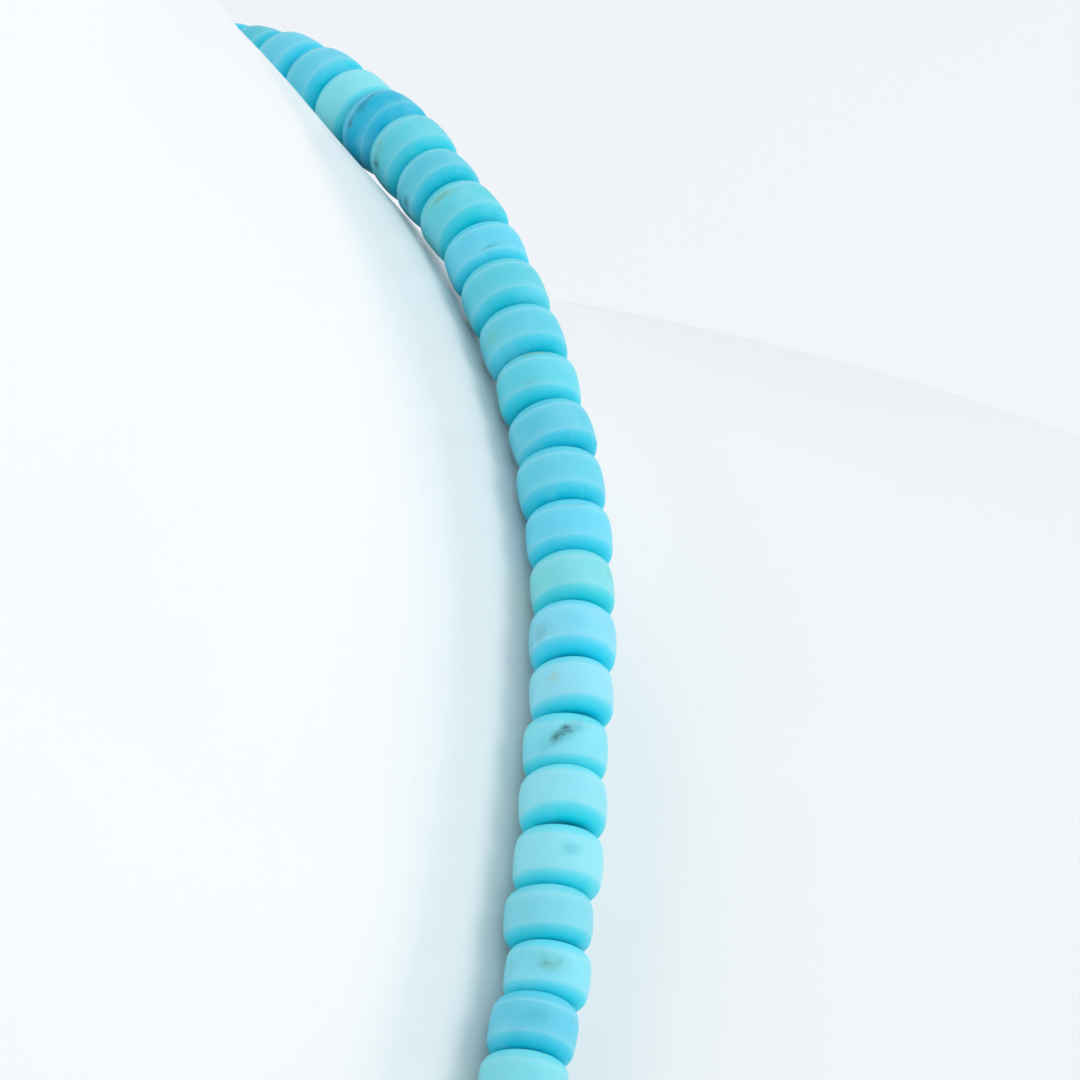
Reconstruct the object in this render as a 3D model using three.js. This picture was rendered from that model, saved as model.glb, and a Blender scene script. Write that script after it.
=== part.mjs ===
// A strand of small stone beads, fastened by a barrel clasp, on a plain neck bust.
// Millimetres, +Z up, the bust faces -Y. The origin is at the middle of the bust's width and depth,
// on its flat underside.
import * as THREE from 'three';

// ---- Driving dimensions ----------------------------------------------------------------------

// Beads: short drums with rounded rims, threaded face to face.
const BEAD_DIAMETER = 4.0;
const BEAD_RIM_ROUND = 0.42;      // length of the rounded rim at each end of a bead
const BEAD_FACE_DIAMETER = 2.7;   // the flat that touches the next bead
const BEADS_PER_RUN = 11;
const RUN_COUNT = 12;
const BEAD_SIDES = 10;

// Clasp: one closed barrel with a narrower ferrule at each end.
const CLASP_LENGTH = 12.0;
const CLASP_DIAMETER = 4.0;
const FERRULE_LENGTH = 2.2;
const FERRULE_DIAMETER = 2.6;
const CLASP_EDGE = 0.4;           // bevel of the barrel's shoulders
const CLASP_SIDES = 24;

// Fit of the necklace on the bust.
const GAP = 0.3;                  // clearance between neighbouring pieces
const SEAT_ROW = 7;               // section of the bust that the strand crosses at each side
const FRONT_DROP_ROWS = 2.1;      // how many sections lower the strand lies at the throat
const BACK_DROP_ROWS = 1.1;       // and towards the back
const NAPE_DIP_ROWS = 1.6;        // how many more it sinks close to the nape

// Bust: sections from the cut of the neck down to the foot. Each is an oval in two halves that
// share its sides: the front half reaches forward and hangs lower, the back half is raised.
//   height  of the two side points above the underside
//   lean    how far behind (+) or ahead (-) of the origin the side points lie
//   half    half of the width, side to side
//   front, drop   reach of the front half, and how far its foremost point hangs below the sides
//   back, rise    reach of the back half, and how far its rearmost point stands above the sides
const SECTION_COLUMNS = ['height', 'lean', 'half', 'front', 'drop', 'back', 'rise'];
const SECTIONS = [
  [178.0, -13.5, 34.0, 54.0, 9.0, 36.0, 6.0],    // cut of the neck, one flat plane
  [158.0, -9.5, 32.5, 54.5, 19.0, 36.0, 12.0],
  [140.5, -3.0, 35.0, 53.5, 28.0, 35.5, 19.5],
  [128.0, 3.0, 38.5, 54.0, 32.0, 36.5, 23.5],
  [118.5, 8.0, 43.0, 54.5, 35.0, 37.5, 26.5],
  [111.5, 11.5, 46.0, 57.0, 37.5, 39.5, 27.5],
  [108.0, 14.0, 47.5, 59.5, 39.5, 41.0, 28.0],
  [105.0, 15.5, 50.0, 61.5, 41.5, 42.0, 26.5],    // the strand's seat at the sides
  [103.0, 16.5, 53.5, 65.0, 44.0, 46.0, 20.5],    // crease between neck and shoulder
  [102.0, 16.5, 57.5, 69.0, 46.5, 49.0, 14.0],
  [101.0, 17.0, 63.5, 71.0, 47.5, 50.5, 11.0],
  [99.5, 18.0, 73.0, 75.0, 49.0, 51.5, 8.0],      // top of the shoulder
  [98.0, 18.0, 83.0, 79.0, 51.0, 52.5, 6.5],
  [97.0, 18.5, 90.0, 83.0, 53.0, 53.0, 6.0],
  [95.5, 18.5, 97.0, 86.0, 54.0, 54.0, 6.0],
  [90.5, 19.0, 105.5, 89.0, 53.0, 53.5, 5.5],     // end of the shoulder
  [76.5, 20.0, 112.0, 92.0, 45.0, 53.0, 4.0],
  [50.0, 20.0, 112.0, 93.0, 27.0, 51.0, 2.0],
  [4.0, 20.0, 110.0, 91.0, 0.0, 47.0, 0.0],       // foot, above its bevel
];
const FOOT_BEVEL = 4.0;           // height of the bevel round the underside
const FOOT_INSET = 3.0;           // and how far it draws the outline in
const BUST_SIDES = 56;
// Steps between one section and the next, from the top down: finest round the strand's crease.
const BUST_STEPS = [1, 1, 1, 1, 2, 2, 2, 2, 2, 2, 2, 1, 1, 1, 2, 2, 1, 1];

const ROUTE_SAMPLES = 1440;       // steps of angle round the loop, for measuring along it
const SLOPE_STEP = 1e-3;          // small step for taking slopes of the bust's surface

// ---- Materials -------------------------------------------------------------------------------

const stone = (hue) => new THREE.MeshStandardMaterial({
  color: new THREE.Color().setHSL(hue, 0.66, 0.6), roughness: 0.42, metalness: 0.0,
});
const silver = new THREE.MeshStandardMaterial({ color: 0xc9c9c6, roughness: 0.3, metalness: 1.0 });
const whiteGloss = new THREE.MeshStandardMaterial({ color: 0xf3f5f6, roughness: 0.18, metalness: 0.0 });

// ---- Bust surface ----------------------------------------------------------------------------

// Section values at row u, a smooth curve through the table (Catmull-Rom, straight past the ends).
function sectionAt(u) {
  const last = SECTIONS.length - 1;
  const i = Math.min(Math.max(Math.floor(u), 0), last - 1);
  const w = u - i;
  const value = (row, c) => {
    if (row < 0) return 2 * SECTIONS[0][c] - SECTIONS[1][c];
    if (row > last) return 2 * SECTIONS[last][c] - SECTIONS[last - 1][c];
    return SECTIONS[row][c];
  };
  return Object.fromEntries(SECTION_COLUMNS.map((name, c) => {
    const [before, start, end, after] = [i - 1, i, i + 1, i + 2].map((row) => value(row, c));
    const slope0 = (end - before) / 2;
    const slope1 = (after - start) / 2;
    const bend = 3 * (end - start) - 2 * slope0 - slope1;
    const twist = 2 * (start - end) + slope0 + slope1;
    return [name, start + w * (slope0 + w * (bend + w * twist))];
  }));
}

// Point of the bust's surface at row u and angle t: 0 at the +X side, a quarter turn at the nape.
function bustPoint(u, t) {
  const s = sectionAt(u);
  const ahead = Math.sin(t) < 0;
  const reach = ahead ? s.front : s.back;
  const tilt = ahead ? s.drop : s.rise;
  return new THREE.Vector3(
    s.half * Math.cos(t),
    s.lean + reach * Math.sin(t),
    s.height + tilt * Math.sin(t),
  );
}

// Outward unit normal of the same surface, from two short steps across it.
function bustNormal(u, t) {
  const along = bustPoint(u, t + SLOPE_STEP).sub(bustPoint(u, t - SLOPE_STEP));
  const down = bustPoint(u + SLOPE_STEP, t).sub(bustPoint(u - SLOPE_STEP, t));
  return down.cross(along).normalize();
}

// ---- Closed solids from rings ----------------------------------------------------------------

// One closed body from rings of equal length, listed from its start to its end and each turning
// the same way about that direction, with a flat fan over each end.
function solidOfRings(rings) {
  const sides = rings[0].length;
  const centreOf = (ring) => ring.reduce((sum, p) => sum.add(p), new THREE.Vector3()).divideScalar(sides);
  const points = [...rings.flat(), centreOf(rings[0]), centreOf(rings[rings.length - 1])];
  const startCentre = points.length - 2;
  const endCentre = points.length - 1;
  const endRing = (rings.length - 1) * sides;
  const index = [];
  for (let k = 0; k < sides; k += 1) {
    const next = (k + 1) % sides;
    for (let r = 0; r < rings.length - 1; r += 1) {
      const here = r * sides;
      const there = here + sides;
      index.push(here + k, here + next, there + next);
      index.push(here + k, there + next, there + k);
    }
    index.push(startCentre, next, k);
    index.push(endCentre, endRing + k, endRing + next);
  }
  const geometry = new THREE.BufferGeometry().setFromPoints(points);
  geometry.setIndex(index);
  geometry.computeVertexNormals();
  return geometry;
}

// ---- Bust ------------------------------------------------------------------------------------

function makeBust() {
  const angles = Array.from({ length: BUST_SIDES }, (_, k) => (2 * Math.PI * k) / BUST_SIDES);
  const foot = sectionAt(SECTIONS.length - 1);
  const underside = angles.map((t) => new THREE.Vector3(
    (foot.half - FOOT_INSET) * Math.cos(t),
    foot.lean + ((Math.sin(t) < 0 ? foot.front : foot.back) - FOOT_INSET) * Math.sin(t),
    foot.height - FOOT_BEVEL,
  ));
  const rings = [underside];
  for (let row = SECTIONS.length - 2; row >= 0; row -= 1) {
    const steps = BUST_STEPS[row];
    for (let k = 0; k < steps; k += 1) {
      rings.push(angles.map((t) => bustPoint(row + 1 - k / steps, t)));
    }
  }
  rings.push(angles.map((t) => bustPoint(0, t)));
  const bust = new THREE.Mesh(solidOfRings(rings), whiteGloss);
  bust.name = 'neck_bust';
  return bust;
}

// ---- Strand ----------------------------------------------------------------------------------

// Row of the bust that the strand lies on at angle t, lowest at the throat and at the nape.
function seatRow(t) {
  if (Math.sin(t) < 0) return SEAT_ROW + FRONT_DROP_ROWS * Math.sin(t) ** 2;
  return SEAT_ROW + BACK_DROP_ROWS * Math.sin(t) ** 2 + NAPE_DIP_ROWS * Math.sin(t) ** 6;
}

// Point of the strand's centre line at angle t: a bead's radius and the gap above the bust.
function strandPoint(t) {
  const u = seatRow(t);
  return bustPoint(u, t).addScaledVector(bustNormal(u, t), BEAD_DIAMETER / 2 + GAP);
}

// The loop as equal steps of angle from the middle of the nape right round to it again, with the
// length run at each step.
const route = Array.from({ length: ROUTE_SAMPLES + 1 }, (_, k) => {
  const t = Math.PI / 2 + (2 * Math.PI * k) / ROUTE_SAMPLES;
  return { t, point: strandPoint(t), run: 0 };
});
for (let k = 1; k <= ROUTE_SAMPLES; k += 1) {
  route[k].run = route[k - 1].run + route[k].point.distanceTo(route[k - 1].point);
}
const LOOP_LENGTH = route[ROUTE_SAMPLES].run;

// Centre, direction and outward normal of the strand at a length s along it.
function strandFrame(s) {
  const k = Math.max(1, route.findIndex((step) => step.run >= s));
  const share = (s - route[k - 1].run) / (route[k].run - route[k - 1].run);
  const t = THREE.MathUtils.lerp(route[k - 1].t, route[k].t, share);
  const centre = new THREE.Vector3().lerpVectors(route[k - 1].point, route[k].point, share);
  const forward = strandPoint(t + SLOPE_STEP).sub(strandPoint(t - SLOPE_STEP)).normalize();
  const outward = bustNormal(seatRow(t), t);
  outward.addScaledVector(forward, -outward.dot(forward)).normalize();
  return { centre, forward, outward };
}

// Regular ring across the strand, moved along it by `shift` from the frame's centre.
function ringAt({ centre, forward, outward }, shift, radius) {
  const sideways = new THREE.Vector3().crossVectors(forward, outward);
  return Array.from({ length: BEAD_SIDES }, (_, k) => {
    const a = (2 * Math.PI * k) / BEAD_SIDES;
    return centre.clone()
      .addScaledVector(forward, shift)
      .addScaledVector(outward, radius * Math.cos(a))
      .addScaledVector(sideways, radius * Math.sin(a));
  });
}

const FIRST_BEAD_START = CLASP_LENGTH / 2 + GAP;
const BEAD_PITCH = (LOOP_LENGTH - 2 * FIRST_BEAD_START) / (RUN_COUNT * BEADS_PER_RUN);

// One run of beads, joined at their faces. Half of the gap is left free at each end of the run.
function makeRun(index) {
  const start = FIRST_BEAD_START + index * BEADS_PER_RUN * BEAD_PITCH;
  const rings = [];
  for (let bead = 0; bead < BEADS_PER_RUN; bead += 1) {
    const from = start + bead * BEAD_PITCH;
    const middle = strandFrame(from + BEAD_PITCH / 2);
    const rim = BEAD_PITCH / 2 - BEAD_RIM_ROUND;
    const openEnd = bead === 0 ? GAP / 2 : 0;
    rings.push(ringAt(strandFrame(from), openEnd, BEAD_FACE_DIAMETER / 2));
    rings.push(ringAt(middle, -rim, BEAD_DIAMETER / 2));
    rings.push(ringAt(middle, rim, BEAD_DIAMETER / 2));
  }
  const end = strandFrame(start + BEADS_PER_RUN * BEAD_PITCH);
  rings.push(ringAt(end, -GAP / 2, BEAD_FACE_DIAMETER / 2));
  const run = new THREE.Mesh(solidOfRings(rings), stone(0.505 + 0.012 * (index % 3)));
  run.name = `bead_run_${String(index + 1).padStart(2, '0')}`;
  return run;
}

// ---- Clasp -----------------------------------------------------------------------------------

// Barrel with a ferrule at each end, turned about its own axis and laid along the nape.
function makeClasp() {
  const end = CLASP_LENGTH / 2;
  const shoulder = end - FERRULE_LENGTH;
  const half = [
    [FERRULE_DIAMETER / 2 - CLASP_EDGE, end],
    [FERRULE_DIAMETER / 2, end - CLASP_EDGE],
    [FERRULE_DIAMETER / 2, shoulder],
    [CLASP_DIAMETER / 2 - CLASP_EDGE, shoulder],
    [CLASP_DIAMETER / 2, shoulder - CLASP_EDGE],
  ];
  const lower = half.map(([r, y]) => new THREE.Vector2(r, -y));
  const upper = half.map(([r, y]) => new THREE.Vector2(r, y)).reverse();
  const profile = [new THREE.Vector2(0, -end), ...lower, ...upper, new THREE.Vector2(0, end)];
  const clasp = new THREE.Mesh(new THREE.LatheGeometry(profile, CLASP_SIDES), silver);
  const { centre, forward } = strandFrame(0);
  clasp.position.copy(centre);
  clasp.quaternion.setFromUnitVectors(new THREE.Vector3(0, 1, 0), forward);
  clasp.name = 'clasp';
  return clasp;
}

// ---- Assembly --------------------------------------------------------------------------------

const necklace = new THREE.Group();
for (let index = 0; index < RUN_COUNT; index += 1) {
  necklace.add(makeRun(index));
}
necklace.add(makeClasp());

const group = new THREE.Group();
group.add(makeBust(), necklace);

export default group;
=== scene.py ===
"""Strand of small turquoise drums, fastened by a barrel clasp, on a plain glossy neck bust.

Metres throughout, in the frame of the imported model: +Z up, the bust faces -Y. The bust is a loft of
oval sections, the strand follows a route laid on that loft, and the beads, the wire and the clasp
are surfaces carried along the route.
"""
import logging
import math
from dataclasses import dataclass, field
from enum import Enum
from typing import Iterable, Mapping, Sequence, Union

import bpy
import numpy as np
from mathutils import Matrix


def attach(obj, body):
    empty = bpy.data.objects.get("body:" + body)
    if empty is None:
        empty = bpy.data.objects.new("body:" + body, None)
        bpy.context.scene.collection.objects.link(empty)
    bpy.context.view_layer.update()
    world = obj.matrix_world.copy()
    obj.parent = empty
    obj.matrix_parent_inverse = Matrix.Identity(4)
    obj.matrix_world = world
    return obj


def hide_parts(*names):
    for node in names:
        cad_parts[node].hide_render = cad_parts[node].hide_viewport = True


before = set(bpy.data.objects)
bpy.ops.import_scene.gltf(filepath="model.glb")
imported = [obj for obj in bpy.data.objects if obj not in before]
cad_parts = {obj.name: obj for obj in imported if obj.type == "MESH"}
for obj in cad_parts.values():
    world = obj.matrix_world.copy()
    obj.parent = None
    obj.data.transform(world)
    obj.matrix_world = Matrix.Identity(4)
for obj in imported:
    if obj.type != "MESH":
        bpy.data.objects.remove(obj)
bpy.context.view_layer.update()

ROOT = "root"
MM = 0.001

log = logging.getLogger("necklace")

Array = np.ndarray
Colour = tuple[float, float, float]


# ---- Meshes from arrays ----

def unit(vectors: Array) -> Array:
    """Vectors of the last axis, each divided by its own length."""
    return vectors / np.linalg.norm(vectors, axis=-1, keepdims=True)


def grid_faces(rows: int, columns: int, wrap_rows: bool) -> Array:
    """Quads of a grid whose columns close on themselves.

    Args:
        rows: number of rings.
        columns: number of points in each ring.
        wrap_rows: joins the last ring to the first, which makes a torus.

    Returns:
        An (n, 4) array of point numbers. Quad (r, c) runs from ring r to the next ring and from
        column c to the next column.
    """
    r = np.arange(rows if wrap_rows else rows - 1)[:, None]
    c = np.arange(columns)[None, :]
    below, beside = (r + 1) % rows, (c + 1) % columns
    corners = (r * columns + c, r * columns + beside, below * columns + beside, below * columns + c)
    return np.stack(np.broadcast_arrays(*corners), axis=-1).reshape(-1, 4)


def tube_faces(rows: int, columns: int) -> list[Array]:
    """Faces of a tube of rings, with one flat face over each end.

    Args:
        rows: number of rings.
        columns: number of points in each ring.

    Returns:
        The wall's quads, the first ring's face and the last ring's face. All face outward where
        each ring turns right-handed about the way from the first ring to the last.
    """
    numbers = np.arange(rows * columns).reshape(rows, columns)
    return [grid_faces(rows, columns, wrap_rows=False), numbers[:1, ::-1], numbers[-1:]]


def make_object(
    name: str,
    points: Array,
    faces: Sequence[Array],
    attributes: Mapping[str, Array] | None = None,
) -> bpy.types.Object:
    """Smooth-shaded mesh object at the origin.

    Args:
        name: the piece's name.
        points: (n, 3) positions in metres.
        faces: arrays of faces; each array's rows all have the same number of corners.
        attributes: values for each point by name, (n,) numbers or (n, 3) linear colours.

    Returns:
        The new object, linked to the scene.
    """
    mesh = bpy.data.meshes.new(name)
    corners = np.concatenate([block.ravel() for block in faces])
    sizes = np.concatenate([np.full(len(block), block.shape[1]) for block in faces])
    mesh.vertices.add(len(points))
    mesh.vertices.foreach_set("co", points.astype(np.float32).ravel())
    mesh.loops.add(len(corners))
    mesh.loops.foreach_set("vertex_index", corners.astype(np.int32))
    mesh.polygons.add(len(sizes))
    starts = np.concatenate([[0], np.cumsum(sizes)[:-1]])
    mesh.polygons.foreach_set("loop_start", starts.astype(np.int32))
    mesh.update(calc_edges=True)
    mesh.shade_smooth()
    for label, values in (attributes or {}).items():
        if values.ndim == 1:
            layer = mesh.attributes.new(label, "FLOAT", "POINT")
            layer.data.foreach_set("value", values.astype(np.float32))
        else:
            layer = mesh.attributes.new(label, "FLOAT_COLOR", "POINT")
            rgba = np.concatenate([values, np.ones((len(values), 1))], axis=1)
            layer.data.foreach_set("color", rgba.astype(np.float32).ravel())
    piece = bpy.data.objects.new(name, mesh)
    bpy.context.scene.collection.objects.link(piece)
    return piece


# ---- Shader graphs written as expressions ----

Operand = Union["Value", float]


class Value:
    """Number socket of a node, on which the usual operators add Math nodes."""

    def __init__(self, board: "NodeBoard", socket: bpy.types.NodeSocket) -> None:
        """Wraps a socket of the board's node tree."""
        self.board = board
        self.socket = socket

    def _math(self, operation: str, first: Operand, second: Operand = 0.0) -> "Value":
        """Value of a Math node of the given operation on one or two operands."""
        node = self.board.add("ShaderNodeMath", {"operation": operation}, {0: first, 1: second})
        return Value(self.board, node.outputs[0])

    def __add__(self, other: Operand) -> "Value":
        """self + other."""
        return self._math("ADD", self, other)

    __radd__ = __add__

    def __sub__(self, other: Operand) -> "Value":
        """self - other."""
        return self._math("SUBTRACT", self, other)

    def __rsub__(self, other: Operand) -> "Value":
        """other - self."""
        return self._math("SUBTRACT", other, self)

    def __mul__(self, other: Operand) -> "Value":
        """self * other."""
        return self._math("MULTIPLY", self, other)

    __rmul__ = __mul__

    def at_most(self, other: Operand) -> "Value":
        """The smaller of the two."""
        return self._math("MINIMUM", self, other)

    def rise(self, low: Operand, high: Operand) -> "Value":
        """Soft step: 0 up to low, 1 from high, and an S curve between. low may be the larger."""
        node = self.board.add(
            "ShaderNodeMapRange",
            {"interpolation_type": "SMOOTHSTEP", "clamp": True},
            {"Value": self, "From Min": low, "From Max": high},
        )
        return Value(self.board, node.outputs["Result"])


class NodeBoard:
    """Node tree of one material, with the few helpers that its graph is written with."""

    def __init__(self, name: str) -> None:
        """Starts a material of this name that holds only a Principled shader."""
        self.material = bpy.data.materials.new(name)
        self.material.use_nodes = True
        self.tree = self.material.node_tree
        self.shader = self.tree.nodes["Principled BSDF"]

    def add(
        self,
        kind: str,
        settings: Mapping[str, object] | None = None,
        inputs: Mapping[Union[int, str], object] | None = None,
    ) -> bpy.types.Node:
        """Adds any node.

        Args:
            kind: the node's type, such as ShaderNodeMix.
            settings: properties of the node, set before its sockets.
            inputs: a value, a Value or a socket for each named or numbered input.

        Returns:
            The new node.
        """
        node = self.tree.nodes.new(kind)
        for label, setting in (settings or {}).items():
            setattr(node, label, setting)
        for label, given in (inputs or {}).items():
            self.feed(node.inputs[label], given)
        return node

    def feed(self, target: bpy.types.NodeSocket, given: object) -> None:
        """Links a socket or a Value to the target, or sets the target to a plain value."""
        source = given.socket if isinstance(given, Value) else given
        if isinstance(source, bpy.types.NodeSocket):
            self.tree.links.new(source, target)
        elif isinstance(source, tuple) and target.type == "RGBA":
            target.default_value = (*source, 1.0)
        else:
            target.default_value = source

    def finish(self, inputs: Mapping[str, object]) -> bpy.types.Material:
        """Feeds the Principled shader's inputs and gives the material back."""
        for label, given in inputs.items():
            self.feed(self.shader.inputs[label], given)
        return self.material

    def place(self) -> bpy.types.NodeSocket:
        """Object coordinates, in metres."""
        return self.add("ShaderNodeTexCoord").outputs["Object"]

    def attribute(self, label: str) -> bpy.types.Node:
        """Attribute node that reads the mesh's own layer of this name."""
        return self.add("ShaderNodeAttribute", {"attribute_name": label})

    def number(self, label: str) -> Value:
        """Number layer of the mesh."""
        return Value(self, self.attribute(label).outputs["Fac"])

    def vector(self, operation: str, first: object, second: object) -> bpy.types.NodeSocket:
        """Vector result of a Vector Math node on two vectors."""
        node = self.add("ShaderNodeVectorMath", {"operation": operation}, {0: first, 1: second})
        return node.outputs["Vector"]

    def noise(
        self, place: object, grain: float, detail: float = 2.0, roughness: float = 0.5
    ) -> Value:
        """Cloud noise of about 0 to 1.

        Args:
            place: the coordinates, in metres.
            grain: size of one cloud, in metres.
            detail: number of finer layers.
            roughness: strength of each finer layer.

        Returns:
            The noise's value.
        """
        node = self.add(
            "ShaderNodeTexNoise",
            {"noise_dimensions": "3D"},
            {"Vector": place, "Scale": 1.0 / grain, "Detail": detail, "Roughness": roughness},
        )
        return Value(self, node.outputs["Fac"])

    def mix(self, share: Operand, base: object, over: object) -> bpy.types.NodeSocket:
        """Colour between base, at a share of 0, and over, at a share of 1."""
        node = self.add(
            "ShaderNodeMix", {"data_type": "RGBA", "clamp_factor": True}, {0: share, 6: base, 7: over}
        )
        return node.outputs[2]

    def bump(self, height: Value, depth: float) -> bpy.types.NodeSocket:
        """Normal of a surface raised by height, of 0 to 1, times depth in metres."""
        inputs = {"Height": height, "Distance": depth, "Strength": 1.0}
        return self.add("ShaderNodeBump", None, inputs).outputs["Normal"]


# ---- Bust ----

@dataclass
class NeckBust:
    """Loft of oval sections from the cut of the neck down to the foot.

    Each section is an oval in two halves that share its side points: the front half reaches
    forward and hangs lower than the sides, the back half reaches back and stands higher.

    Attributes:
        columns: what each column of the sections' table holds, all in millimetres.
        sections: the table, from the cut of the neck down to the foot.
        foot_bevel: height of the rounding round the underside.
        foot_inset: how far that rounding draws the outline in.
        rim_round: radius of the neck's rounded rim.
        rim_row: row just below the rim, towards which the wall leaves it.
        skin_lift: thickness of the lacquer over the loft.
        around: points round each ring.
        steps_per_section: rings from one section to the next.
        round_steps: rings of each rounding.
        slope_step: small step, in rows or radians, for taking slopes of the surface.
    """

    columns: tuple[str, ...] = ("height", "lean", "half", "front", "drop", "back", "rise")
    sections: tuple[tuple[float, ...], ...] = (
        (178.0, -13.5, 34.0, 54.0, 9.0, 36.0, 6.0),
        (158.0, -9.5, 32.5, 54.5, 19.0, 36.0, 12.0),
        (140.5, -3.0, 35.0, 53.5, 28.0, 35.5, 19.5),
        (128.0, 3.0, 38.5, 54.0, 32.0, 36.5, 23.5),
        (118.5, 8.0, 43.0, 54.5, 35.0, 37.5, 26.5),
        (111.5, 11.5, 46.0, 57.0, 37.5, 39.5, 27.5),
        (108.0, 14.0, 47.5, 59.5, 39.5, 41.0, 28.0),
        (105.0, 15.5, 50.0, 61.5, 41.5, 42.0, 26.5),
        (103.0, 16.5, 53.5, 65.0, 44.0, 46.0, 20.5),
        (102.0, 16.5, 57.5, 69.0, 46.5, 49.0, 14.0),
        (101.0, 17.0, 63.5, 71.0, 47.5, 50.5, 11.0),
        (99.5, 18.0, 73.0, 75.0, 49.0, 51.5, 8.0),
        (98.0, 18.0, 83.0, 79.0, 51.0, 52.5, 6.5),
        (97.0, 18.5, 90.0, 83.0, 53.0, 53.0, 6.0),
        (95.5, 18.5, 97.0, 86.0, 54.0, 54.0, 6.0),
        (90.5, 19.0, 105.5, 89.0, 53.0, 53.5, 5.5),
        (76.5, 20.0, 112.0, 92.0, 45.0, 53.0, 4.0),
        (50.0, 20.0, 112.0, 93.0, 27.0, 51.0, 2.0),
        (4.0, 20.0, 110.0, 91.0, 0.0, 47.0, 0.0),
    )
    foot_bevel: float = 4.0 * MM
    foot_inset: float = 3.0 * MM
    rim_round: float = 1.6 * MM
    rim_row: float = 0.05
    skin_lift: float = 0.16 * MM
    around: int = 168
    steps_per_section: int = 7
    round_steps: int = 6
    slope_step: float = 1e-3

    def section(self, u: Array) -> dict[str, Array]:
        """Section sizes at rows u, in metres.

        Catmull-Rom through the table: between two rows the value is the cubic that leaves each row
        with half the difference of its neighbours. Past either end the table runs on straight.
        """
        table = np.array(self.sections) * MM
        ends = 2 * table[[0, -1]] - table[[1, -2]]
        padded = np.vstack([ends[:1], table, ends[1:]])
        i = np.clip(np.floor(u).astype(int), 0, len(table) - 2)
        w = (u - i)[..., None]
        before, start, end, after = (padded[i + k] for k in range(4))
        slope0, slope1 = (end - before) / 2, (after - start) / 2
        bend = 3 * (end - start) - 2 * slope0 - slope1
        twist = 2 * (start - end) + slope0 + slope1
        values = start + w * (slope0 + w * (bend + w * twist))
        return {name: values[..., c] for c, name in enumerate(self.columns)}

    def point(self, u: Array, t: Array) -> Array:
        """Surface at row u and angle t: (half cos t, lean + reach sin t, height + tilt sin t).

        reach and tilt are front and drop where sin t is negative, and back and rise elsewhere.
        """
        s = self.section(u)
        ahead = np.sin(t) < 0
        reach = np.where(ahead, s["front"], s["back"])
        tilt = np.where(ahead, s["drop"], s["rise"])
        x = s["half"] * np.cos(t)
        return np.stack([x, s["lean"] + reach * np.sin(t), s["height"] + tilt * np.sin(t)], axis=-1)

    def normal(self, u: Array, t: Array) -> Array:
        """Outward unit normal: the cross product of a short step down and one along the surface."""
        h = self.slope_step
        along = self.point(u, t + h) - self.point(u, t - h)
        down = self.point(u + h, t) - self.point(u - h, t)
        return unit(np.cross(down, along))

    def _neck_rim(self, t: Array) -> Array:
        """Rings that round the neck's cut: quarter circles from the wall over to the flat cut."""
        turn = np.linspace(0, math.pi / 2, self.round_steps + 1)[::-1, None, None]
        rim = self.point(np.zeros_like(t), t)
        down = unit(self.point(np.full_like(t, self.rim_row), t) - rim)
        inward = unit(rim.mean(axis=0) - rim)
        r = self.rim_round
        return rim + down * r * (1 - np.sin(turn)) + inward * r * (1 - np.cos(turn))

    def _foot(self, t: Array) -> Array:
        """Rings that round the foot: quarter ovals, foot_bevel high and foot_inset deep."""
        turn = np.linspace(0, math.pi / 2, self.round_steps + 1)[1:, None, None]
        rim = self.point(np.full_like(t, len(self.sections) - 1.0), t)
        inward = unit((rim.mean(axis=0) - rim) * (1, 1, 0))
        up = np.array([0.0, 0.0, 1.0])
        return rim + inward * self.foot_inset * (1 - np.cos(turn)) - up * self.foot_bevel * np.sin(turn)

    def build(self, finish: "GlossFinish") -> bpy.types.Object:
        """Whole bust as one closed skin: flat cut, rounded rim, wall, rounded foot, underside.

        The wall stands off the loft by skin_lift along the normal. The rim and the foot are moved
        sideways by as much as the ring of the wall that they meet. The rings run from the
        underside up, about which they turn right-handed.
        """
        t = np.linspace(0, 2 * math.pi, self.around, endpoint=False)
        last = len(self.sections) - 1
        fall = (self.point(np.zeros(1), t[:1]) - self.point(np.ones(1), t[:1]))[0, 2]
        clear = self.rim_round / fall
        u = np.linspace(clear, last, last * self.steps_per_section)
        place = np.broadcast_arrays(u[:, None], t[None, :])
        wall, lift = self.point(*place), self.normal(*place) * self.skin_lift
        rim = self._neck_rim(t)[:-1]
        foot = self._foot(t) + lift[-1] * (1, 1, 0)
        rings = np.concatenate([rim + lift[0] * (1, 1, 0), wall + lift, foot])[::-1]
        faces = tube_faces(len(rings), self.around)
        piece = make_object("neck_bust_skin", rings.reshape(-1, 3), faces)
        flat = np.zeros(len(piece.data.polygons), dtype=bool)
        flat[-2:] = True
        piece.data.polygons.foreach_set("use_smooth", ~flat)
        piece.data.materials.append(finish.material())
        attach(piece, ROOT)
        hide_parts("neck_bust")
        return piece


# ---- Route of the strand ----

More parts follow.
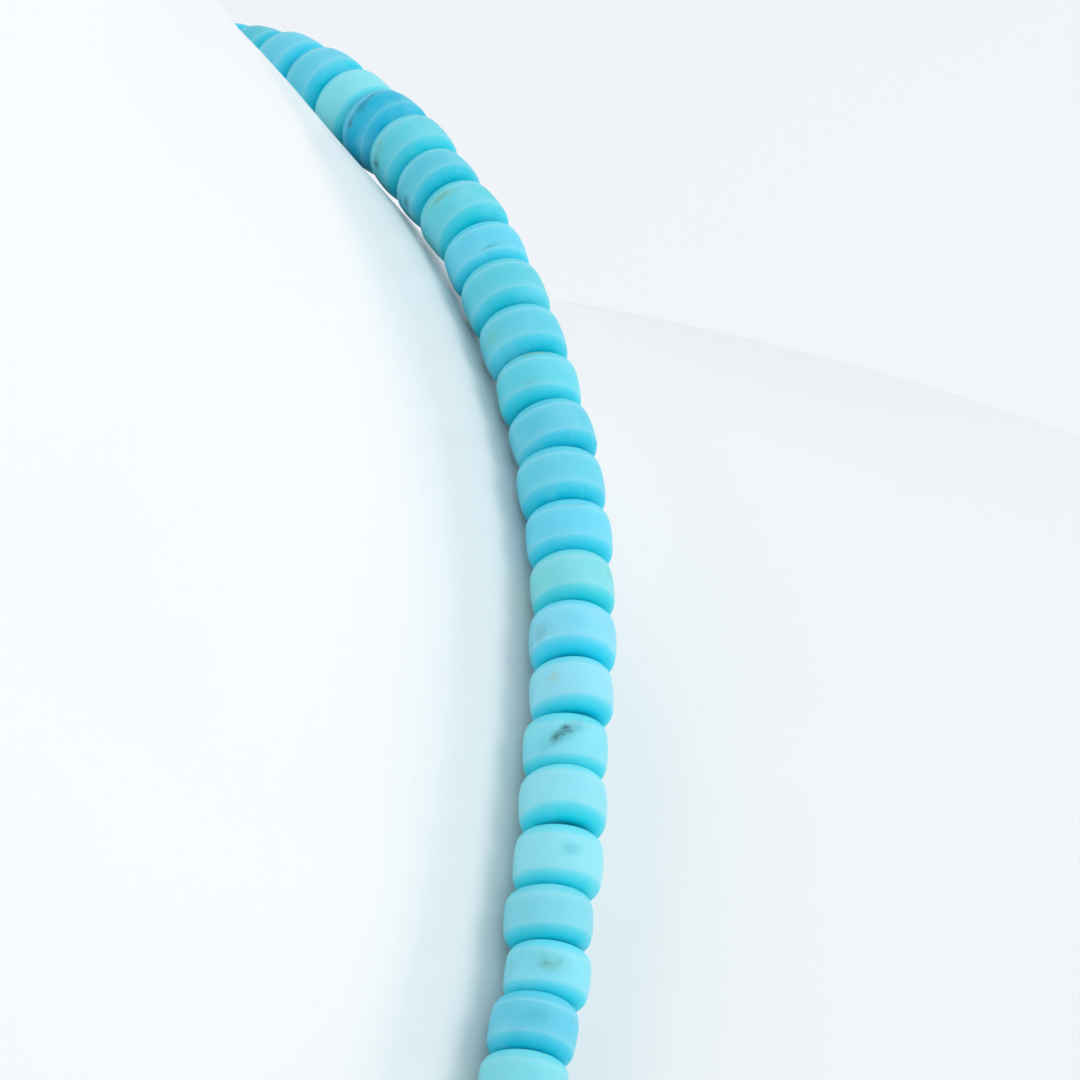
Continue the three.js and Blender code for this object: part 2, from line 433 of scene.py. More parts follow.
@dataclass
class StrandRoute:
    """Closed line on which the necklace lies, a bead's radius and a small gap above the bust."""

    bust: NeckBust
    lift: float = 2.3 * MM
    seat_row: float = 7.0
    front_drop_rows: float = 2.1
    back_drop_rows: float = 1.1
    nape_dip_rows: float = 1.6
    samples: int = 2880

    def __post_init__(self) -> None:
        """Measures the loop once: equal steps of angle from the nape round to the nape again."""
        self.angles = math.pi / 2 + np.linspace(0, 2 * math.pi, self.samples + 1)
        points = self.point(self.angles)
        steps = np.linalg.norm(np.diff(points, axis=0), axis=1)
        self.run = np.concatenate([[0.0], np.cumsum(steps)])
        self.length = float(self.run[-1])

    def row(self, t: Array) -> Array:
        """Row of the bust under the strand.

        The seat row plus a drop that grows with sin t squared, and behind the neck a further dip
        that grows with the sixth power of sin t.
        """
        swing = np.sin(t)
        back = self.back_drop_rows * swing**2 + self.nape_dip_rows * swing**6
        return self.seat_row + np.where(swing < 0, self.front_drop_rows * swing**2, back)

    def point(self, t: Array) -> Array:
        """Centre line at angle t: the bust's point moved out by the lift along its normal."""
        u = self.row(t)
        return self.bust.point(u, t) + self.lift * self.bust.normal(u, t)

    def frames(self, s: Array) -> tuple[Array, Array, Array, Array]:
        """Frames of the strand at lengths s from the nape.

        Args:
            s: lengths along the loop, in metres.

        Returns:
            Centres, forward unit vectors, outward unit vectors square to them, and the third
            side of the frame, forward x outward.
        """
        t = np.interp(s, self.run, self.angles)
        h = self.bust.slope_step
        forward = unit(self.point(t + h) - self.point(t - h))
        outward = self.bust.normal(self.row(t), t)
        outward = unit(outward - forward * np.sum(outward * forward, axis=-1, keepdims=True))
        return self.point(t), forward, outward, np.cross(forward, outward)


# ---- Finishes ----

class Tone(Enum):
    """Stone colours of the strand, linear."""

    SKY = (0.150, 0.660, 0.840)
    CYAN = (0.125, 0.620, 0.770)
    TURQUOISE = (0.095, 0.580, 0.710)
    DEEP = (0.008, 0.500, 0.750)
    GREEN = (0.125, 0.645, 0.735)
    MINT = (0.240, 0.720, 0.840)
    PALE = (0.310, 0.770, 0.885)

    @classmethod
    def from_letter(cls, letter: str) -> "Tone":
        """Tone whose name starts with the letter."""
        return next(tone for tone in cls if tone.name.startswith(letter))


@dataclass(frozen=True)
class Marking:
    """One dark or tan fleck in the stone.

    Attributes:
        bead: number of the bead along the strand, from the nape.
        around: degrees round the bead, from the side that faces out of the bust.
        along: place between the bead's middle, 0, and its rims, -1 and 1.
        size: length along the strand and length round the bead, in millimetres.
        colour: linear colour of the fleck.
        strength: how far the fleck covers the stone, 0 to 1.
        slant: degrees by which the fleck's length round the bead turns towards the far rim.
    """

    bead: int
    around: float
    along: float
    size: tuple[float, float]
    colour: Colour
    strength: float
    slant: float = 0.0


@dataclass(frozen=True)
class StoneFinish:
    """Waxy polished turquoise with pale lines on the band edges, mostly painted highlight and partly wear,
    cloudy tone and soft brown matrix.

    Attributes:
        roughness: of clean stone. Fine clouds, specks and worn rims change it a little.
        cloud_grain: size of the broad pale and dark clouds.
        fine_grain: size of the fine clouds, on which the mottling and the polish are based.
        stain_grain: size of the patches in which olive stains and brown specks gather.
        speck_grain: size of a speck.
        apart: how far each bead's seed moves its pattern along X, Y and Z, in metres.
        pale_share, dark_share, fine_share: strength of the pale, dark and fine clouds.
        stain_share, speck_share, rim_share: strength of the stains, the specks and the pale rim lines, which
            are mostly painted highlight and partly wear.
        stain_reach: how much a bead's richness in matrix lowers the level at which stains start.
        matrix, olive, chalk_and_highlight: linear colours of the specks, the stains, and the pale clouds and
            painted highlights.
        polish_depth: height of the surface's unevenness.
        specular: strength of the surface reflection, a waxy stone's.
        glow: share of the light that scatters inside the stone.
        glow_reach: how far red, green and blue travel inside, as shares of glow_scale.
        glow_scale: the longest of those distances, in metres.
    """

    roughness: float = 0.40
    cloud_grain: float = 2.2 * MM
    fine_grain: float = 0.40 * MM
    stain_grain: float = 2.6 * MM
    speck_grain: float = 0.36 * MM
    apart: tuple[float, float, float] = (0.9, 0.37, 0.61)
    pale_share: float = 0.30
    dark_share: float = 0.22
    fine_share: float = 0.08
    stain_share: float = 0.38
    speck_share: float = 0.55
    rim_share: float = 0.42
    stain_reach: float = 0.26
    matrix: Colour = (0.130, 0.105, 0.060)
    olive: Colour = (0.170, 0.330, 0.260)
    chalk_and_highlight: Colour = (0.330, 0.760, 0.860)
    polish_depth: float = 0.008 * MM
    specular: float = 0.12
    glow: float = 0.50
    glow_reach: Colour = (0.08, 0.75, 1.0)
    glow_scale: float = 0.35 * MM

    def material(self) -> bpy.types.Material:
        """Material that reads the beads' own tone (with painted groove shade and edge highlight), rim,
        matrix, fleck and seed layers.
        """
        board = NodeBoard("turquoise_stone")
        seed = board.number("stone_seed")
        shift = {axis: seed * share for axis, share in enumerate(self.apart)}
        place = board.vector("ADD", board.place(), board.add("ShaderNodeCombineXYZ", None, shift).outputs[0])
        # the tone layer holds the stone's tone with the painted groove shade and the painted edge highlight.
        tone = board.attribute("stone_tone").outputs["Color"]
        fleck_tone = board.attribute("fleck_tone").outputs["Color"]
        rim = board.number("rim")
        richness = board.number("matrix")
        fleck = board.number("fleck")

        cloud = board.noise(place, self.cloud_grain, detail=2.0, roughness=0.45)
        fine = board.noise(place, self.fine_grain, detail=2.0)
        colour = board.mix(cloud.rise(0.50, 0.80) * self.pale_share, tone, self.chalk_and_highlight)
        colour = board.mix(cloud.rise(0.48, 0.24) * self.dark_share, colour, Tone.TURQUOISE.value)
        colour = board.mix(fine.rise(0.50, 0.80) * self.fine_share, colour, self.chalk_and_highlight)

        patch = board.noise(place, self.stain_grain, detail=1.0)
        mottle = board.noise(place, self.fine_grain * 1.4, detail=3.0, roughness=0.65)
        stain = patch.rise(0.80 - richness * self.stain_reach, 0.98 - richness * self.stain_reach)
        speck = board.noise(place, self.speck_grain, detail=1.0).rise(0.66, 0.80) * stain
        colour = board.mix(stain * mottle.rise(0.30, 0.65) * self.stain_share, colour, self.olive)
        colour = board.mix(speck * self.speck_share, colour, self.matrix)
        own = (fleck * (0.55 + mottle.rise(0.30, 0.60) * 0.75)).at_most(1.0)
        colour = board.mix(own, colour, fleck_tone)
        # painted highlight: a pale line along each band edge, standing partly for wear too.
        colour = board.mix(rim * self.rim_share, colour, self.chalk_and_highlight)

        roughness = self.roughness + (fine - 0.5) * 0.10 + speck * 0.15 - rim * 0.05
        polish = board.noise(place, self.fine_grain * 1.6, detail=2.0, roughness=0.5)
        normal = board.bump(polish - speck * 0.5 - own * 0.4, self.polish_depth)
        return board.finish({
            "Base Color": colour,
            "Roughness": roughness,
            "Normal": normal,
            "IOR": 1.52,
            "Specular IOR Level": self.specular,
            "Subsurface Weight": self.glow,
            "Subsurface Radius": self.glow_reach,
            "Subsurface Scale": self.glow_scale,
        })


@dataclass(frozen=True)
class GlossFinish:
    """Smooth white lacquer of the bust."""

    colour: Colour = (0.895, 0.905, 0.900)
    dust_colour: Colour = (0.55, 0.55, 0.54)
    dust_share: float = 0.05
    roughness: float = 0.36
    haze_grain: float = 22 * MM
    dust_grain: float = 0.7 * MM
    ripple_grain: float = 6 * MM
    ripple_depth: float = 0.015 * MM

    def material(self) -> bpy.types.Material:
        """White with a faint cloud in its gloss and the slightest ripple under its coat."""
        board = NodeBoard("white_lacquer")
        place = board.place()
        haze = board.noise(place, self.haze_grain, detail=3.0)
        dust = board.noise(place, self.dust_grain, detail=0.0).rise(0.80, 0.88)
        ripple = board.noise(place, self.ripple_grain, detail=2.0)
        return board.finish({
            "Base Color": board.mix(dust * self.dust_share, self.colour, self.dust_colour),
            "Roughness": self.roughness + (haze - 0.5) * 0.10,
            "Normal": board.bump(ripple, self.ripple_depth),
            "IOR": 1.5,
            "Coat Weight": 0.18,
            "Coat Roughness": 0.16,
        })


@dataclass(frozen=True)
class MetalFinish:
    """Polished silver with fine scratches and a little tarnish."""

    name: str = "polished_silver"
    colour: Colour = (0.780, 0.775, 0.760)
    tarnish_colour: Colour = (0.52, 0.49, 0.43)
    tarnish_share: float = 0.35
    roughness: float = 0.2
    scratch_grain: float = 0.12 * MM
    tarnish_grain: float = 2.5 * MM
    scratch_depth: float = 0.003 * MM

    def material(self) -> bpy.types.Material:
        """Metal whose gloss varies with its scratches and its tarnish."""
        board = NodeBoard(self.name)
        place = board.place()
        scratches = board.noise(place, self.scratch_grain, detail=4.0, roughness=0.7)
        tarnish = board.noise(place, self.tarnish_grain, detail=2.0)
        dulled = tarnish.rise(0.55, 0.8) * self.tarnish_share
        return board.finish({
            "Base Color": board.mix(dulled, self.colour, self.tarnish_colour),
            "Roughness": self.roughness + scratches * 0.12 + tarnish * 0.08,
            "Normal": board.bump(scratches, self.scratch_depth),
            "Metallic": 1.0,
        })


@dataclass(frozen=True)
class FloorFinish:
    """Plain pale matt floor."""

    colour: Colour = (0.962, 0.971, 0.990)
    grain_colour: Colour = (0.80, 0.82, 0.86)
    grain_share: float = 0.03
    grain_size: float = 40 * MM

    def material(self) -> bpy.types.Material:
        """Even pale colour with a slight grain."""
        board = NodeBoard("pale_floor")
        grain = board.noise(board.place(), self.grain_size, detail=3.0)
        tint = board.mix(grain * self.grain_share, self.colour, self.grain_colour)
        return board.finish({"Base Color": tint, "Roughness": 0.7, "Specular IOR Level": 0.2})


# ---- Beads ----

@dataclass
class Bead:
    """Short drum: a barely crowned band, a fine line at each end of it, painted as a highlight over a small
    step, rounded ends and a bore.

    Attributes:
        diameter: across the middle of the band.
        band_share: length of the band as a share of the bead's.
        crown: how much narrower the band is at its ends than at its middle.
        edge_round, edge_step: length and depth of the small step from the band to the dome.
        dome_power: power of the superellipse of the dome.
        face_radius, bore_radius: radii of the end face and of the bore.
        dome_steps: rings of a dome, less one.
        band_rings: rings of half a band, as shares of its length.
        lines: strength of the fine line on the two rings of its edge, mostly a painted highlight and partly
            wear.
        near_highlight_line: strength of the line at the end nearer the start of the loop, where the painted
            highlight is weaker.
        far_shade: share of its depth that the dome at the other end counts as having, which makes the
            painted groove shade lighter at that end.
    """

    diameter: float = 4.04 * MM
    band_share: float = 0.50
    crown: float = 0.035 * MM
    edge_round: float = 0.05 * MM
    edge_step: float = 0.016 * MM
    dome_power: float = 1.70
    face_radius: float = 1.34 * MM
    bore_radius: float = 0.42 * MM
    dome_steps: int = 7
    band_rings: tuple[float, ...] = (0.0, 0.35, 0.65, 0.85)
    lines: tuple[float, float] = (1.0, 0.6)
    near_highlight_line: float = 0.45
    far_shade: float = 0.45

    def profile(self, half: float) -> tuple[Array, Array, Array, Array]:
        """Outline of a bead from one bore mouth to the other, which the bore closes.

        The band is a shallow parabola. From its edge the dome is a quarter of a superellipse: its
        share of the way along, to dome_power, plus its share of the way out, to dome_power, is 1.

        Args:
            half: half of the bead's length, in metres.

        Returns:
            Places along the thread, radii, strength of the painted highlight line on the edge rings, and
            depth into the dome, from 0 on the band to 1 at the face, which sets the painted groove shade.
        """
        turn = np.linspace(0, math.pi / 2, self.dome_steps + 1)
        advance = np.sin(turn) ** (2 / self.dome_power)
        sink = 1 - np.maximum(np.cos(turn), 0) ** (2 / self.dome_power)
        top, edge_radius = self.diameter / 2, self.diameter / 2 - self.crown
        edge = half * self.band_share
        shoulder = edge_radius - self.edge_step
        dome_z = edge + self.edge_round + (half - edge - self.edge_round) * advance
        dome_r = shoulder + (self.face_radius - shoulder) * sink
        band_z = np.array(self.band_rings) * edge
        band_r = top - self.crown * (band_z / edge) ** 2
        z = np.concatenate([band_z, [edge], dome_z, [half]])
        r = np.concatenate([band_r, [edge_radius], dome_r, [self.bore_radius]])
        on_band = len(band_z)
        line = np.zeros_like(z)
        line[on_band:on_band + 2] = self.lines
        depth = np.concatenate([np.zeros(on_band + 1), advance, [1.0]])
        mirror = slice(None, 0, -1)
        return (
            np.concatenate([-z[mirror], z]),
            np.concatenate([r[mirror], r]),
            np.concatenate([line[mirror] * self.near_highlight_line, line]),
            np.concatenate([depth[mirror], depth * self.far_shade]),
        )


@dataclass
class Strand:
    """All the beads, threaded in runs from one end of the clasp round to the other.

    Attributes:
        clear_of_nape: length along the loop from the nape to the first bead.
        around: points round a bead.
        length_spread, width_spread: how far lengths and widths stray, as shares.
        wobble: usual lean of a bead, in radians.
        stray, stray_shares: how far a bead lies off the route, and how much of that is outward
            and how much sideways.
        two_lobes, three_lobes: how far a bead is out of round, as shares of its radius.
        shade_spread, hue_spread, hue_lean: usual change of a stone's tone, even and by channel.
        painted_groove_shade: painted shade in the grooves between beads, what the depth of a groove leaves
            of red, green and blue.
        painted_edge_highlight: how far the band is painted paler towards its edges, a painted highlight.
        first_charted, tone_chart: a bead's number, and its tone and those after it by letter.
        flecks: the markings that are listed one by one.
    """

    route: StrandRoute
    bead: Bead = field(default_factory=Bead)
    runs: int = 12
    beads_per_run: int = 11
    clear_of_nape: float = 6.3 * MM
    around: int = 28
    length_spread: float = 0.07
    width_spread: float = 0.030
    wobble: float = math.radians(3.2)
    stray: float = 0.20 * MM
    stray_shares: tuple[float, float] = (0.3, 1.0)
    two_lobes: float = 0.008
    three_lobes: float = 0.005
    shade_spread: float = 0.035
    hue_spread: float = 0.03
    hue_lean: Colour = (0.3, -0.5, 1.0)
    seed: int = 7
    painted_groove_shade: Colour = (0.0, 0.90, 0.96)
    painted_edge_highlight: float = 0.22
    first_charted: int = 96
    tone_chart: str = "MSMMPPMPMMSSCCCCCGCGDMCSTCGS"
    flecks: tuple[Marking, ...] = (
        Marking(96, 4, -0.50, (0.35, 0.50), (0.250, 0.320, 0.200), 0.60),
        Marking(97, -30, 0.00, (0.80, 1.10), (0.080, 0.520, 0.600), 0.60),
        Marking(98, -34, 0.05, (0.80, 1.50), (0.160, 0.480, 0.450), 0.75),
        Marking(100, -20, 0.10, (0.60, 0.80), (0.080, 0.540, 0.630), 0.55),
        Marking(102, -42, 0.16, (0.44, 1.30), (0.015, 0.085, 0.110), 1.10, 40),
        Marking(102, -38, 0.16, (0.60, 1.90), (0.070, 0.400, 0.460), 0.60, 32),
        Marking(103, -66, 0.10, (0.34, 0.34), (0.420, 0.520, 0.330), 0.60),
        Marking(106, -44, 0.52, (0.11, 0.32), (0.050, 0.220, 0.200), 0.85),
        Marking(106, -32, 0.55, (0.14, 0.36), (0.060, 0.230, 0.200), 0.85, 10),
        Marking(106, -20, 0.48, (0.12, 0.30), (0.060, 0.260, 0.230), 0.75, -20),
        Marking(109, -58, 0.80, (0.24, 1.70), (0.230, 0.400, 0.260), 0.75),
        Marking(110, -108, 0.05, (0.90, 1.20), (0.180, 0.580, 0.500), 0.60),
        Marking(112, -60, -0.42, (0.16, 0.80), (0.070, 0.340, 0.330), 0.70, 8),
        Marking(112, -44, -0.50, (0.12, 0.24), (0.090, 0.260, 0.220), 0.60),
        Marking(113, -84, 0.42, (0.46, 1.50), (0.170, 0.460, 0.340), 0.65, -6),
        Marking(113, -112, 0.52, (0.14, 0.40), (0.220, 0.260, 0.150), 0.60),
        Marking(114, -142, -0.20, (0.26, 0.34), (0.090, 0.150, 0.150), 0.75),
        Marking(115, -140, 0.12, (0.42, 0.36), (0.045, 0.030, 0.022), 0.95),
        Marking(115, -118, 0.30, (0.70, 0.80), (0.190, 0.430, 0.330), 0.60),
        Marking(116, -112, 0.34, (0.30, 0.36), (0.120, 0.045, 0.035), 1.00),
        Marking(116, -86, 0.30, (0.46, 0.80), (0.015, 0.230, 0.340), 0.65, 20),
        Marking(116, -64, 0.44, (0.14, 0.16), (0.030, 0.180, 0.240), 0.70),
        Marking(116, -104, 0.85, (0.26, 0.90), (0.130, 0.360, 0.300), 0.60),
        Marking(118, -100, 0.86, (0.26, 0.46), (0.150, 0.110, 0.050), 0.85),
    )

    def __post_init__(self) -> None:
        """Draws every bead's length, girth, lean and stone, in one fixed order."""
        rng = np.random.default_rng(self.seed)
        count = self.runs * self.beads_per_run
        lengths = 1 + self.length_spread * rng.uniform(-1, 1, (self.runs, self.beads_per_run))
        lengths /= lengths.mean(axis=1, keepdims=True)
        pitch = (self.route.length - 2 * self.clear_of_nape) / count
        self.lengths = lengths.ravel() * pitch
        ends = self.clear_of_nape + np.cumsum(self.lengths)
        self.middles = ends - self.lengths / 2
        self.girths = 1 + self.width_spread * rng.uniform(-1, 1, count)
        self.leans = rng.normal(0, self.wobble, (count, 2))
        self.strays = rng.uniform(-self.stray, self.stray, (count, 2)) * self.stray_shares
        self.ovals = rng.uniform(0, 2 * math.pi, (count, 2))
        self.seeds = rng.uniform(0, 1, count)
        self.matrix = rng.beta(1.2, 2.2, count)
        chart = len(self.tone_chart)
        letters = [self.tone_chart[(i - self.first_charted) % chart] for i in range(count)]
        tones = np.array([Tone.from_letter(letter).value for letter in letters])
        shade = rng.normal(0, self.shade_spread, (count, 1))
        hue = rng.normal(0, self.hue_spread, (count, 1)) * np.array([self.hue_lean])
        self.tones = np.clip(tones * (1 + shade + hue), 0.01, 0.95)

    def shells(self, which: slice) -> tuple[Array, dict[str, Array]]:
        """Skins of the chosen beads as one array.

        Each point is centre + forward z + (outward cos a + sideways sin a) r, where r swells by a
        slight oval of two and three lobes, and the frame is first turned by the bead's own lean.
        The tone is the stone's, painted paler towards the band's edges by their share squared as a painted
        highlight, and darkened by painted shade towards the grooves, by the square root of the depth into
        the dome.

        Args:
            which: the beads.

        Returns:
            Points (beads, rings, sides, 3) and the layers of the mesh by name.
        """
        centre, forward, outward, sideways = self.route.frames(self.middles[which])
        lean = self.leans[which]
        forward = unit(forward + outward * lean[:, :1] + sideways * lean[:, 1:])
        outward = unit(outward - forward * np.sum(outward * forward, axis=1, keepdims=True))
        sideways = np.cross(forward, outward)
        centre = centre + outward * self.strays[which, :1] + sideways * self.strays[which, 1:]

        shapes = [self.bead.profile(length / 2) for length in self.lengths[which]]
        z, r, line, depth = (np.array(column) for column in zip(*shapes))
        a = np.linspace(0, 2 * math.pi, self.around, endpoint=False)
        turn = self.ovals[which]
        two = self.two_lobes * np.cos(2 * (a - turn[:, :1]))
        oval = 1 + two + self.three_lobes * np.cos(3 * (a - turn[:, 1:]))
        radius = r[:, :, None] * (self.girths[which, None] * oval)[:, None, :]
        spoke = outward[:, None] * np.cos(a)[:, None] + sideways[:, None] * np.sin(a)[:, None]
        points = (
            centre[:, None, None]
            + forward[:, None, None] * z[:, :, None, None]
            + spoke[:, None] * radius[..., None]
        )
        shape = points.shape[:3]
        # painted shade: the tone is darkened and deepened towards the grooves between beads, by the square
        # root of the depth into each dome.
        tint = 1 - (1 - np.array(self.painted_groove_shade)) * np.sqrt(depth)[:, :, None, None]
        # painted highlight: the band's tone is mixed towards the pale colour more and more towards its
        # edges.
        near_edge = np.clip(np.abs(z) / (self.lengths[which, None] / 2 * self.bead.band_share), 0, 1)
        glow = (self.painted_edge_highlight * near_edge**2)[:, :, None, None]
        tones = self.tones[which, None, None] * (1 - glow) + np.array(StoneFinish.chalk_and_highlight) * glow
        tones = np.broadcast_to(tones * tint, (*shape, 3))
        cover, cover_tone = self._flecks_on(which, z, r, a)
        layers = {
            "stone_tone": tones.reshape(-1, 3),
            "stone_seed": np.broadcast_to(self.seeds[which, None, None], shape).ravel(),
            "matrix": np.broadcast_to(self.matrix[which, None, None], shape).ravel(),
            "rim": np.broadcast_to(line[:, :, None], shape).ravel(),
            "fleck": cover.ravel(),
            "fleck_tone": cover_tone.reshape(-1, 3),
        }
        return points, layers

    def _flecks_on(self, which: slice, z: Array, r: Array, a: Array) -> tuple[Array, Array]:
        """Cover and colour of the named flecks at each point of the chosen beads.

        A fleck is an oval, turned by its slant, that fades from its middle: strength times e to
        the minus of the squared distances along and across it, each measured in half sizes.

        Args:
            which: the beads.
            z: places along the thread, (beads, rings).
            r: radii, (beads, rings).
            a: angles round a bead.

        Returns:
            The cover (beads, rings, sides) and the fleck's colour (beads, rings, sides, 3).
        """
        cover = np.zeros((*z.shape, len(a)))
        tone = np.ones((*cover.shape, 3)) * StoneFinish.matrix
        for fleck in self.flecks:
            k = fleck.bead - which.start
            if not 0 <= k < len(z):
                continue
            ahead = (z[k] - fleck.along * self.lengths[fleck.bead] / 2)[:, None]
            swing = (a - math.radians(fleck.around) + math.pi) % (2 * math.pi) - math.pi
            beside = swing[None, :] * r[k][:, None]
            slant = math.radians(fleck.slant)
            across = ahead * math.cos(slant) - beside * math.sin(slant)
            lengthwise = beside * math.cos(slant) + ahead * math.sin(slant)
            across, lengthwise = (v / (n * MM / 2) for v, n in zip((across, lengthwise), fleck.size))
            here = fleck.strength * np.exp(-(across**2) - lengthwise**2)
            over = here > cover[k]
            cover[k] = np.where(over, here, cover[k])
            tone[k][over] = fleck.colour
        return cover, tone

    def build_run(self, index: int, material: bpy.types.Material) -> bpy.types.Object:
        """One run of beads as one mesh of separate closed skins.

        Args:
            index: number of the run, from 0.
            material: the stone.

        Returns:
            The piece, which stands for the frame's run of the same number.
        """
        first = index * self.beads_per_run
        points, layers = self.shells(slice(first, first + self.beads_per_run))
        beads, rings, sides = points.shape[:3]
        one = grid_faces(rings, sides, wrap_rows=True)
        faces = (one[None] + (np.arange(beads) * rings * sides)[:, None, None]).reshape(-1, 4)
        number = f"{index + 1:02d}"
        piece = make_object(f"beads_{number}", points.reshape(-1, 3), [faces], layers)
        piece.data.materials.append(material)
        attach(piece, ROOT)
        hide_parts(f"bead_run_{number}")
        return piece

    def build(self, finish: StoneFinish) -> list[bpy.types.Object]:
        """Every run, in one stone."""
        material = finish.material()
        return [self.build_run(index, material) for index in range(self.runs)]


# ---- Wire and clasp ----

@dataclass
class BeadingWire:
    """Fine coated wire through every bead, from one ferrule of the clasp to the other."""

    route: StrandRoute
    diameter: float = 0.5 * MM
    clear_of_nape: float = 5.6 * MM
    steps: int = 480
    sides: int = 10

    def build(self, finish: MetalFinish) -> bpy.types.Object:
        """Circle of the wire's radius carried along the route, closed by a flat face at each end."""
        s = np.linspace(self.clear_of_nape, self.route.length - self.clear_of_nape, self.steps)
        centre, _, outward, sideways = self.route.frames(s)
        a = np.linspace(0, 2 * math.pi, self.sides, endpoint=False)[:, None]
        spoke = outward[:, None] * np.cos(a) + sideways[:, None] * np.sin(a)
        points = centre[:, None] + spoke * self.diameter / 2
        faces = tube_faces(self.steps, self.sides)
        piece = make_object("beading_wire", points.reshape(-1, 3), faces)
        piece.data.materials.append(finish.material())
        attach(piece, ROOT)
        return piece


@dataclass
class BarrelClasp:
    """Closed barrel with rolled edges, a seam round its middle and a ferrule at each end."""

    route: StrandRoute
    length: float = 12.0 * MM
    diameter: float = 4.0 * MM
    ferrule_length: float = 2.2 * MM
    ferrule_diameter: float = 2.6 * MM
    edge: float = 0.4 * MM
    seam_depth: float = 0.14 * MM
    seam_half: float = 0.12 * MM
    lip: float = 0.02 * MM
    fillet: float = 0.10 * MM
    round_steps: int = 6
    around: int = 48

    def _half_profile(self) -> Array:
        """(along, radius) from the seam at the middle out to the mouth of one ferrule.

        Each edge is a quarter circle that turns from the barrel's side to its end face.
        """
        turn = np.linspace(0, math.pi / 2, self.round_steps + 1)
        end, shoulder = self.length / 2, self.length / 2 - self.ferrule_length
        barrel, ferrule = self.diameter / 2, self.ferrule_diameter / 2

        def rolled(tip: float, radius: float, size: float) -> list[tuple[float, float]]:
            """Quarter circle whose end face is at tip."""
            return [
                (tip - size * (1 - math.sin(q)), radius - size * (1 - math.cos(q))) for q in turn
            ]

        return np.array([
            (0.0, barrel - self.seam_depth),
            (self.seam_half, barrel - self.seam_depth * 0.9),
            (self.seam_half * 1.6, barrel - self.lip),
            (self.seam_half * 3.0, barrel),
            (shoulder * 0.55, barrel),
            *rolled(shoulder, barrel, self.edge),
            (shoulder, ferrule + self.fillet),
            (shoulder + self.fillet, ferrule),
            ((shoulder + end) / 2, ferrule),
            *rolled(end, ferrule, self.edge),
        ])

    def build(self, finish: MetalFinish) -> bpy.types.Object:
        """Profile turned about the strand's direction at the nape."""
        half = self._half_profile()
        profile = np.concatenate([half[:0:-1] * (-1, 1), half])
        centre, forward, outward, sideways = (v[0] for v in self.route.frames(np.zeros(1)))
        a = np.linspace(0, 2 * math.pi, self.around, endpoint=False)[:, None]
        spoke = outward * np.cos(a) + sideways * np.sin(a)
        points = centre + forward * profile[:, None, :1] + spoke * profile[:, None, 1:]
        faces = tube_faces(len(profile), self.around)
        piece = make_object("barrel_clasp", points.reshape(-1, 3), faces)
        piece.data.materials.append(finish.material())
        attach(piece, ROOT)
        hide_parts("clasp")
        return piece


# ---- Studio ----

@dataclass(frozen=True)
class Softbox:
    """Square area light that looks at the middle of the necklace."""

    name: str
    azimuth: float
    elevation: float
    distance: float
    size: float
    power: float
    colour: Colour = (1.0, 1.0, 1.0)

    def build(self, target: Array) -> None:
        """Places the light round the target: azimuth 0 is in front of the bust, 90 at its +X side."""
        data = bpy.data.lights.new(self.name, "AREA")
        data.size, data.energy, data.color = self.size, self.power, self.colour
        light = bpy.data.objects.new(self.name, data)
        light.visible_camera = False
        place = direction(self.azimuth, self.elevation)
        light.location = target + place * self.distance
        light.rotation_euler = look_along(-place).to_euler()
        bpy.context.scene.collection.objects.link(light)


def direction(azimuth: float, elevation: float) -> Array:
    """Unit vector from the object towards a place at this azimuth and elevation, in degrees."""
    a, e = math.radians(azimuth), math.radians(elevation)
    return np.array([math.sin(a) * math.cos(e), -math.cos(a) * math.cos(e), math.sin(e)])


def look_along(forward: Array, roll: float = 0.0) -> Matrix:
    """Rotation matrix of a camera or light that looks along forward, turned by roll in radians.

    Args:
        forward: unit vector of the view.
        roll: turn of the frame's right-hand side towards its top.

    Returns:
        A 3 x 3 matrix whose columns are the right, up and backward sides.
    """
    right = unit(np.cross(forward, (0.0, 0.0, 1.0)))
    up = np.cross(right, forward)
    turned_right = math.cos(roll) * right + math.sin(roll) * up
    turned_up = -math.sin(roll) * right + math.cos(roll) * up
    return Matrix(np.stack([turned_right, turned_up, -forward], axis=1).tolist())


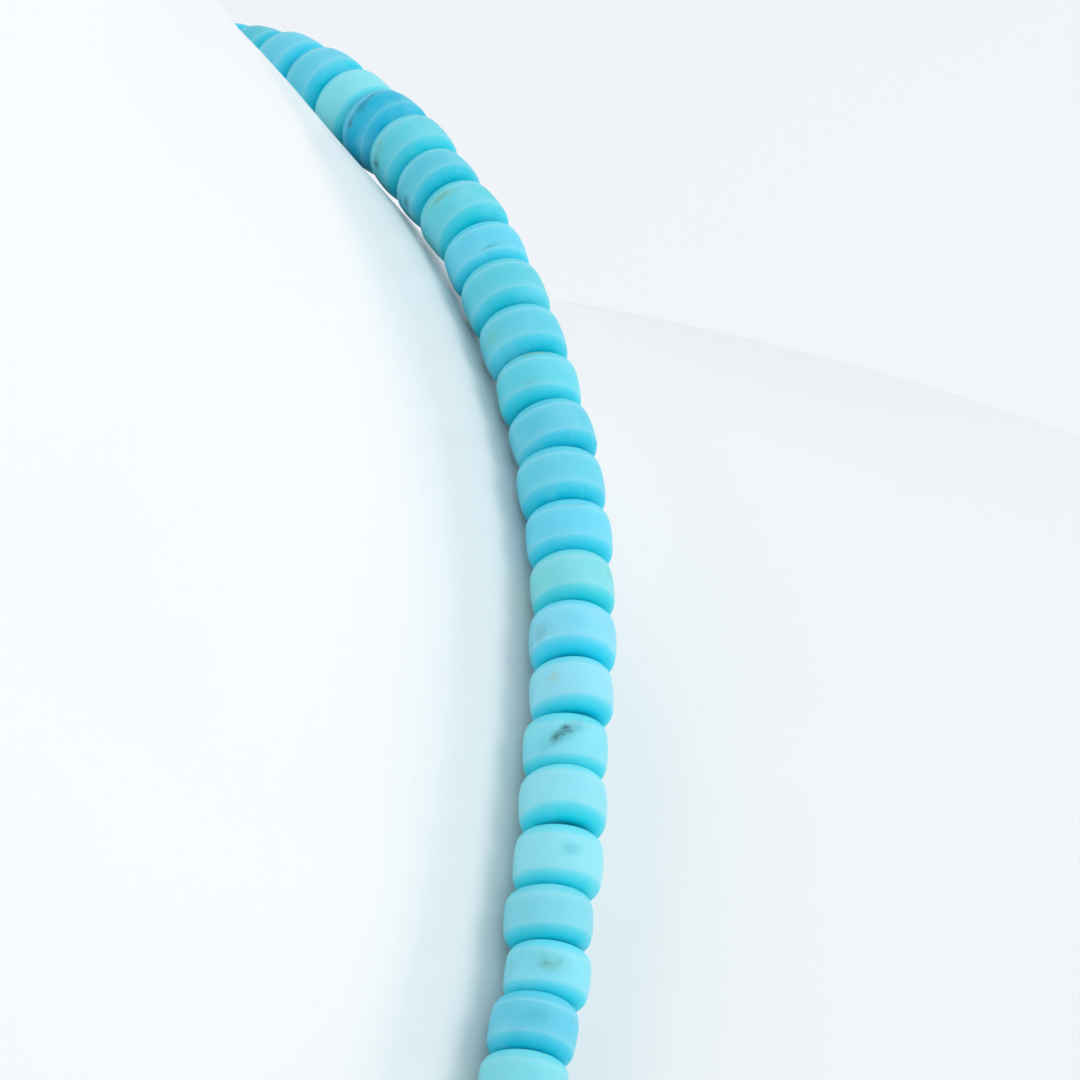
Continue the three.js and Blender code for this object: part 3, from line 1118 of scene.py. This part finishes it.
@dataclass
class Studio:
    """Floor, soft light and a long-lens camera close to the strand's side.

    Angles are in degrees and the roll in radians. aim_right and aim_up shift the point that the
    camera looks at, across its view.
    """

    floor_size: float = 12.0
    floor_drop: float = 0.05 * MM
    sky: Colour = (0.945, 0.970, 1.0)
    sky_strength: float = 0.80
    camera_azimuth: float = 3.73
    camera_elevation: float = 28.32
    camera_roll: float = math.radians(-2.37)
    camera_distance: float = 0.330
    lens: float = 236.5
    aim_right: float = -1.40 * MM
    aim_up: float = 6.0 * MM
    sensor_width: float = 36.0
    clip: tuple[float, float] = (0.01, 50.0)
    boxes: tuple[Softbox, ...] = (
        Softbox("overhead", 0, 88, 1.0, 1.0, 0.9),
        Softbox("key_right", 86, 31, 1.0, 0.45, 2.75),
    )

    def _floor(self, finish: FloorFinish) -> None:
        """Flat square sheet under the bust."""
        h = self.floor_size / 2
        corners = np.array([(-h, -h, 0), (h, -h, 0), (h, h, 0), (-h, h, 0)], dtype=float)
        corners[:, 2] = -self.floor_drop
        floor = make_object("studio_floor", corners, [np.array([[0, 1, 2, 3]])])
        floor.data.materials.append(finish.material())

    def _sky(self) -> None:
        """Even pale light from all round."""
        world = bpy.data.worlds.new("studio_sky")
        world.use_nodes = True
        background = world.node_tree.nodes["Background"]
        background.inputs["Color"].default_value = (*self.sky, 1.0)
        background.inputs["Strength"].default_value = self.sky_strength
        bpy.context.scene.world = world

    def _camera(self, target: Array) -> None:
        """Long lens that looks down along the strand from in front."""
        back = direction(self.camera_azimuth, self.camera_elevation)
        facing = look_along(-back, self.camera_roll)
        right, up = (np.array(facing.col[k]) for k in range(2))
        place = target + back * self.camera_distance
        aim = target + right * self.aim_right + up * self.aim_up
        data = bpy.data.cameras.new("close_camera")
        data.lens, data.sensor_width = self.lens, self.sensor_width
        data.clip_start, data.clip_end = self.clip
        camera = bpy.data.objects.new("close_camera", data)
        camera.location = place
        camera.rotation_euler = look_along(unit(aim - place), self.camera_roll).to_euler()
        bpy.context.scene.collection.objects.link(camera)
        bpy.context.scene.camera = camera

    def build(self, side_of_strand: Array, finish: FloorFinish) -> None:
        """Sets the whole studio round the object.

        Args:
            side_of_strand: where the strand crosses the bust's +X side, which the camera looks at.
            finish: the floor's material.
        """
        self._floor(finish)
        self._sky()
        self._camera(side_of_strand)
        for softbox in self.boxes:
            softbox.build(side_of_strand)
        view = bpy.context.scene.view_settings
        view.view_transform = "Standard"
        view.look = "None"


# ---- Assembly ----


def main() -> None:
    """Builds every piece in order and reports it."""
    logging.basicConfig(level=logging.INFO, format="%(name)s: %(message)s")
    bust = NeckBust()
    route = StrandRoute(bust)
    Studio().build(route.point(np.zeros(1))[0], FloorFinish())
    pieces = [
        bust.build(GlossFinish()),
        *Strand(route).build(StoneFinish()),
        BeadingWire(route).build(MetalFinish(name="beading_wire_coat", roughness=0.3)),
        BarrelClasp(route).build(MetalFinish()),
    ]
    for piece in pieces:
        log.info("%s: %d faces", piece.name, len(piece.data.polygons))
    log.info("loop of %.1f mm", route.length / MM)


if __name__ == "__main__":
    main()
